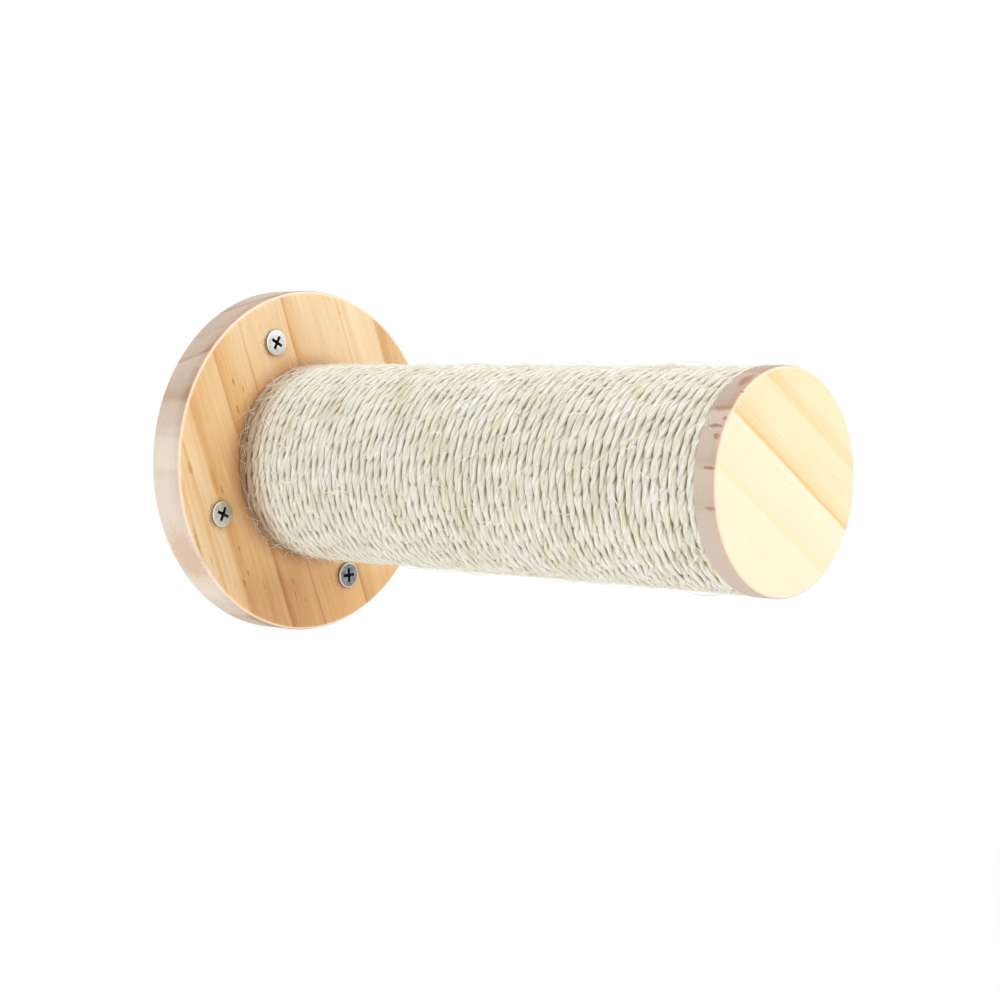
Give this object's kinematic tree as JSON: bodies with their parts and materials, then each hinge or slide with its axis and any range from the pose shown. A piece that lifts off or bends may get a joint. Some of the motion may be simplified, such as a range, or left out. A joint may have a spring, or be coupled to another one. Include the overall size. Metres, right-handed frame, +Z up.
{
  "type": "cat scratching post",
  "caption": "Short sisal-wound cat scratching and climbing post that stands out of a round pine wall plate screwed to a wall, closed by a pine end cap.",
  "frame": {"origin": "centre of the wall plate's back face, on the wall", "axes": "+Y out of the plate's back into the wall, so the post points along -Y; +Z up"},
  "size_m": [0.12, 0.2368, 0.12],
  "materials": {
    "pine_orange": "satin",
    "pine_pale": "satin",
    "plug_wood": "matte",
    "beech": "matte",
    "kraft_paper": "matte",
    "sisal": "fibrous",
    "zinc_steel": "zinc plated",
    "staple_wire": "galvanised"
  },
  "bodies": {
    "root": {"wall_plate": "pine_orange", "wall_screw_1": "zinc_steel", "wall_screw_2": "zinc_steel", "wall_screw_3": "zinc_steel", "wall_screw_4": "zinc_steel", "post_screw_1": "zinc_steel", "post_screw_2": "zinc_steel", "post_screw_3": "zinc_steel", "post_screw_4": "zinc_steel", "rear_plug": "plug_wood", "core_tube": "kraft_paper", "rear_staple_1": "staple_wire", "rear_staple_2": "staple_wire", "rear_staple_3": "staple_wire", "rear_staple_4": "staple_wire", "front_plug": "plug_wood", "front_staple_1": "staple_wire", "front_staple_2": "staple_wire", "front_staple_3": "staple_wire", "front_staple_4": "staple_wire", "cap_dowel_1": "beech", "cap_dowel_2": "beech", "end_cap": "pine_pale", "sisal_rope_rear": "sisal", "sisal_rope_middle": "sisal", "sisal_rope_front": "sisal"}
  },
  "joints": []
}
